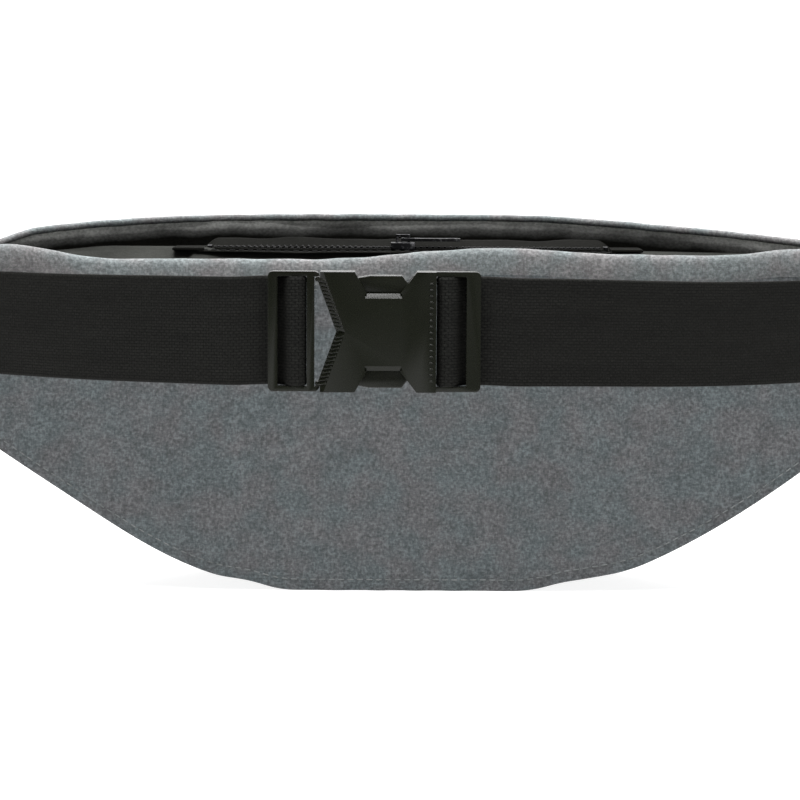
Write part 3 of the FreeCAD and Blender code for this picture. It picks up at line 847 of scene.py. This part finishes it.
# ------------------------------------------------------------------ buckle
def buckle():
    """Both halves and the prongs, with moulded edges."""
    rows = (("buckle_housing", "housing_moulding", 0.7, 1.8, "pouch"),
            ("buckle_insert", "insert_moulding", 0.7, 1.8, "buckle_insert"),
            ("prong_upper", "upper_prong_moulding", 0.5, 0.0, "prong_upper"),
            ("prong_lower", "lower_prong_moulding", 0.5, 0.0, "prong_lower"))
    for node, name, width, corner, body in rows:
        piece = softened_copy(node, name, PLASTIC, width, corner=corner)
        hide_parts(node)
        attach(piece, body)


def capsule(verts, faces, start, end, out, radius, ring=8):
    """Adds one round-ended bar between two points, bedded in a surface that faces out."""
    along = (end - start).normalized()
    side = along.cross(out).normalized()
    rise = side.cross(along).normalized()
    first = len(verts)
    levels = ((-0.9, 0.35), (-0.45, 0.85), (0.0, 1.0))
    stations = [(start + along * radius * a, radius * r) for a, r in levels]
    stations += [(end - along * radius * a, radius * r) for a, r in levels[::-1]]
    for centre, size in stations:
        for k in range(ring):
            angle = 2 * math.pi * k / ring
            verts.append(centre + side * math.cos(angle) * size + rise * math.sin(angle) * size)
    for level in range(len(stations) - 1):
        for k in range(ring):
            n = (k + 1) % ring
            a = first + level * ring
            faces.append((a + k, a + n, a + ring + n, a + ring + k))
    faces.append(tuple(first + k for k in range(ring))[::-1])
    faces.append(tuple(first + (len(stations) - 1) * ring + k for k in range(ring)))


def housing_ribs():
    """Slanted ribs across the sloping lip of the mouth and a column of knurls beside the webbing."""
    centre = Vector((BUCKLE_X, BUCKLE_Y, BELT_HEIGHT))
    verts = []
    faces = []
    for side in (-1, 1):
        low = Vector((LIP_APEX, 0, 0))
        high = Vector((LIP_TIP[0], 0, side * LIP_TIP[1]))
        along = (high - low).normalized()
        across = Vector((along.z * side, 0, -along.x * side))
        for run in spaced(1.2, (high - low).length - 1.6, 13):
            edge = low + along * run
            foot = edge + across * 0.4 + along * 0.7 + Vector((0, HOUSING_FACE + LIP_DEPTH * 0.82, 0))
            head = edge + across * (LIP_WIDTH - 0.3) - along * 0.7 + Vector((0, HOUSING_FACE + 0.12, 0))
            capsule(verts, faces, centre + foot, centre + head, Vector((-0.4, -1, 0)), 0.42)
    for z in spaced(-17.0, 17.0, 17):
        at = centre + Vector((KNURL_X, HOUSING_FACE, z))
        capsule(verts, faces, at + Vector((-0.5, 0, 0)), at + Vector((0.5, 0, 0)), Vector((0, -1, 0)), 0.38)
    ribs = new_piece("housing_ribs", verts, faces, PLASTIC)
    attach(ribs, "pouch")


# ------------------------------------------------------------------ belt
def strap_point(sign, t):
    """Middle of a strap from the buckle (0) to its wing tip (1) and into it, in plan."""
    slope = WRAP * WRAP_POWER / TIP_REACH
    out = 1 / math.hypot(1, slope)
    tip = (TIP_REACH + slope * out * TIP_DEPTH / 2, back_y(TIP_REACH) + out * TIP_DEPTH / 2)
    ends = ((BUCKLE_X + sign * STRAP_JOIN, BUCKLE_Y + STRAP_BACKSET), (sign * tip[0], tip[1]))
    handles = ((ends[0][0] + sign * 45.0, ends[0][1] + 9.0),
               (ends[1][0] + sign * 24.0 * out, ends[1][1] - 24.0 * slope * out))
    if t > 1:
        run = (t - 1) * 100.0
        return Vector((ends[1][0] - sign * run * out, ends[1][1] + run * slope * out, 0))
    weights = ((1 - t) ** 3, 3 * t * (1 - t) ** 2, 3 * t * t * (1 - t), t ** 3)
    corners = (ends[0], handles[0], handles[1], ends[1])
    return Vector((sum(w * c[0] for w, c in zip(weights, corners)),
                   sum(w * c[1] for w, c in zip(weights, corners)), 0))


def rounded(points, rounds=3):
    """Cuts the corners off a route, so that webbing bends instead of creasing."""
    for _ in range(rounds):
        cut = [points[0]]
        for a, b in zip(points, points[1:]):
            cut += [a.lerp(b, 0.25), a.lerp(b, 0.75)]
        points = cut + [points[-1]]
    return points


def strap_route(sign, outer_inside, inner_far, inner_near):
    """Whole webbing of one side: tail, round the inner bar, behind the outer bar, to the wing."""
    tail_back = STRAP_BACKSET + 1.5
    turn = inner_near - 1.2
    thread = [(STRAP_JOIN, tail_back), (turn, tail_back), (turn, -STRAP_BACKSET),
              (inner_far + 0.9, -STRAP_BACKSET), (outer_inside - 1.4, STRAP_BACKSET),
              (STRAP_JOIN, STRAP_BACKSET)]
    corners = [Vector((BUCKLE_X + sign * x, BUCKLE_Y + y, 0)) for x, y in thread]
    bend = rounded(corners)
    tail = []
    for t in spaced(0.35, 0.02, 34):
        here = strap_point(sign, t)
        along = (strap_point(sign, t + 0.01) - strap_point(sign, t - 0.01)).normalized()
        tail.append(here + Vector((-along.y, along.x, 0)) * sign * 1.5)
    plain = [strap_point(sign, t) for t in spaced(0.02, 1.15, 120)]
    return tail + bend + plain


def webbing_profile():
    """Flat woven section with slightly thicker selvedges."""
    half = WEBBING_WIDTH / 2 + 0.15
    face = [(-half + 0.25, 0.5), (-half + 0.9, 0.74), (-half + 2.2, 0.66)]
    face += [(z, 0.62) for z in spaced(-half + 4.0, half - 4.0, 9)]
    face += [(half - 2.2, 0.66), (half - 0.9, 0.74), (half - 0.25, 0.5)]
    upper = [(b, a) for a, b in face]
    lower = [(-b, a) for a, b in face[::-1]]
    return upper + [(0.0, half)] + lower + [(0.0, -half)]


def strap_stations(route, sag):
    """Stations along a strap's route in plan, drooping by sag towards its wing."""
    stations = []
    for i, point in enumerate(route):
        along = route[min(i + 1, len(route) - 1)] - route[max(i - 1, 0)]
        if along.length < 1e-6:
            continue
        along.normalize()
        free = abs(point.x - BUCKLE_X) - 38.0
        height = BELT_HEIGHT - 0.6 * smooth(free / 14.0) - sag * smooth(free / 110.0)
        height += 0.25 * rumple(point.x, point.y, 0, 60.0, 5.0)
        stations.append((point + Vector((0, 0, height)), Vector((-along.y, along.x, 0)), UP))
    return stations


def straps():
    """One webbing strap on each side of the buckle; the right one rides with the pouch and the left one is
    baked in place, unattached.
    """
    profile = webbing_profile()
    rows = (("strap_right", 1, RIGHT_BARS, RIGHT_SAG, ("belt_right",)),
            ("strap_left", -1, LEFT_BARS, LEFT_SAG, ("belt_left", "belt_left_end")))
    for name, sign, bars, sag, nodes in rows:
        stations = strap_stations(strap_route(sign, *bars), sag)
        strap = sweep(name, stations, profile, WEB)
        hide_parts(*nodes)
        if sign > 0:
            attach(strap, "pouch")
        else:
            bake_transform(strap)


def wing_patches():
    """Stitched patches over the belt's ends."""
    for node in ("wing_patch_left", "wing_patch_right"):
        piece = softened_copy(node, node + "_cloth", BODY, 0.4)
        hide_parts(node)
        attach(piece, "pouch")


# ------------------------------------------------------------------ CAD nodes that stay
def keep_cad_nodes():
    """Hidden layers and the anchor loop keep their CAD shape and get a real material."""
    kept = (("back_padding", FOAM), ("float_foam", FOAM), ("back_lining", LINING),
            ("front_lining", INNER), ("rope_anchor", WEB))
    for node, material in kept:
        for slot in bpy.data.objects[node].material_slots:
            slot.material = material


# ------------------------------------------------------------------ studio
def stage_material():
    """White sweep that glows; well in front of the bag it is dull, which keeps the buckle dark."""
    s = Shader("studio_white", rough=0.9, specular=0.1)
    s.bsdf.inputs["Emission Strength"].default_value = 0.86
    near = s.fade(s.part("Y"), -0.8, -0.38)
    s.colour(s.ramp(near, (0.0, (0.1, 0.1, 0.1)), (1.0, (0.4, 0.4, 0.4))))
    glow = s.ramp(near, (0.0, (0.18, 0.18, 0.18)), (1.0, (1.0, 1.0, 1.0)))
    s.link(glow, s.bsdf.inputs["Emission Color"])
    return s.material


def studio():
    """Pale floor that sweeps up into a backdrop."""
    rows = []
    profile = [(-4000.0, 0.0), (1200.0, 0.0)]
    for step in range(13):
        angle = math.pi / 2 * step / 12
        profile.append((1200.0 + 900.0 * math.sin(angle), 900.0 - 900.0 * math.cos(angle)))
    profile.append((2100.0, 4000.0))
    for x in (-5000.0, 5000.0):
        rows.append([(x, y, z) for y, z in profile])
    floor = grid("studio_sweep", rows, stage_material())


def area_light(name, place, target, size, power):
    """Rectangular light aimed at a target; places in metres, power in watts."""
    lamp = bpy.data.lights.new(name, "AREA")
    lamp.shape = "RECTANGLE"
    lamp.size, lamp.size_y = size
    lamp.energy = power
    holder = bpy.data.objects.new(name, lamp)
    holder.location = place
    holder.rotation_euler = (Vector(target) - Vector(place)).to_track_quat("-Z", "Y").to_euler()
    bpy.context.scene.collection.objects.link(holder)


def lights():
    """Soft light from above, a strip for the buckle's edges, and weak light from front and back."""
    middle = (0.0, 0.02, 0.09)
    area_light("key_above", (-0.15, 0.05, 1.6), middle, (1.6, 0.8), 44.0)
    area_light("glint_strip", (0.1, -0.85, 1.6), middle, (1.4, 0.14), 17.0)
    area_light("front_fill", (0.5, -2.2, 0.9), middle, (1.8, 1.4), 3.0)
    area_light("back_top", (0.2, 1.3, 1.3), middle, (2.2, 0.8), 20.0)
    world = bpy.data.worlds.new("studio_world")
    world.use_nodes = True
    world.node_tree.nodes["Background"].inputs["Color"].default_value = (1.0, 1.0, 1.0, 1.0)
    world.node_tree.nodes["Background"].inputs["Strength"].default_value = 0.2
    bpy.context.scene.world = world
    bpy.context.scene.view_settings.view_transform = "Standard"


def camera():
    """Slightly above the belt, looking along +Y at the wearer's side."""
    elevation = math.radians(CAMERA_ELEVATION)
    target = Vector(CAMERA_TARGET)
    eye = target + Vector((0.0, -math.cos(elevation), math.sin(elevation))) * CAMERA_DISTANCE
    data = bpy.data.cameras.new("camera")
    data.sensor_width = SENSOR
    data.lens = LENS
    data.clip_start = 0.05
    data.clip_end = 20.0
    holder = bpy.data.objects.new("camera", data)
    holder.location = eye * MM
    lean = Quaternion((0.0, 0.0, 1.0), math.radians(CAMERA_LEAN))
    holder.rotation_euler = ((target - eye).to_track_quat("-Z", "Y") @ lean).to_euler()
    bpy.context.scene.collection.objects.link(holder)
    bpy.context.scene.camera = holder


camera()
cloth_panels()
rims()
seam_bindings()
pouch_stitching()
mouth_panels()
zip_tapes()
zip_teeth()
zip_hardware()
buckle()
housing_ribs()
straps()
wing_patches()
keep_cad_nodes()
studio()
lights()
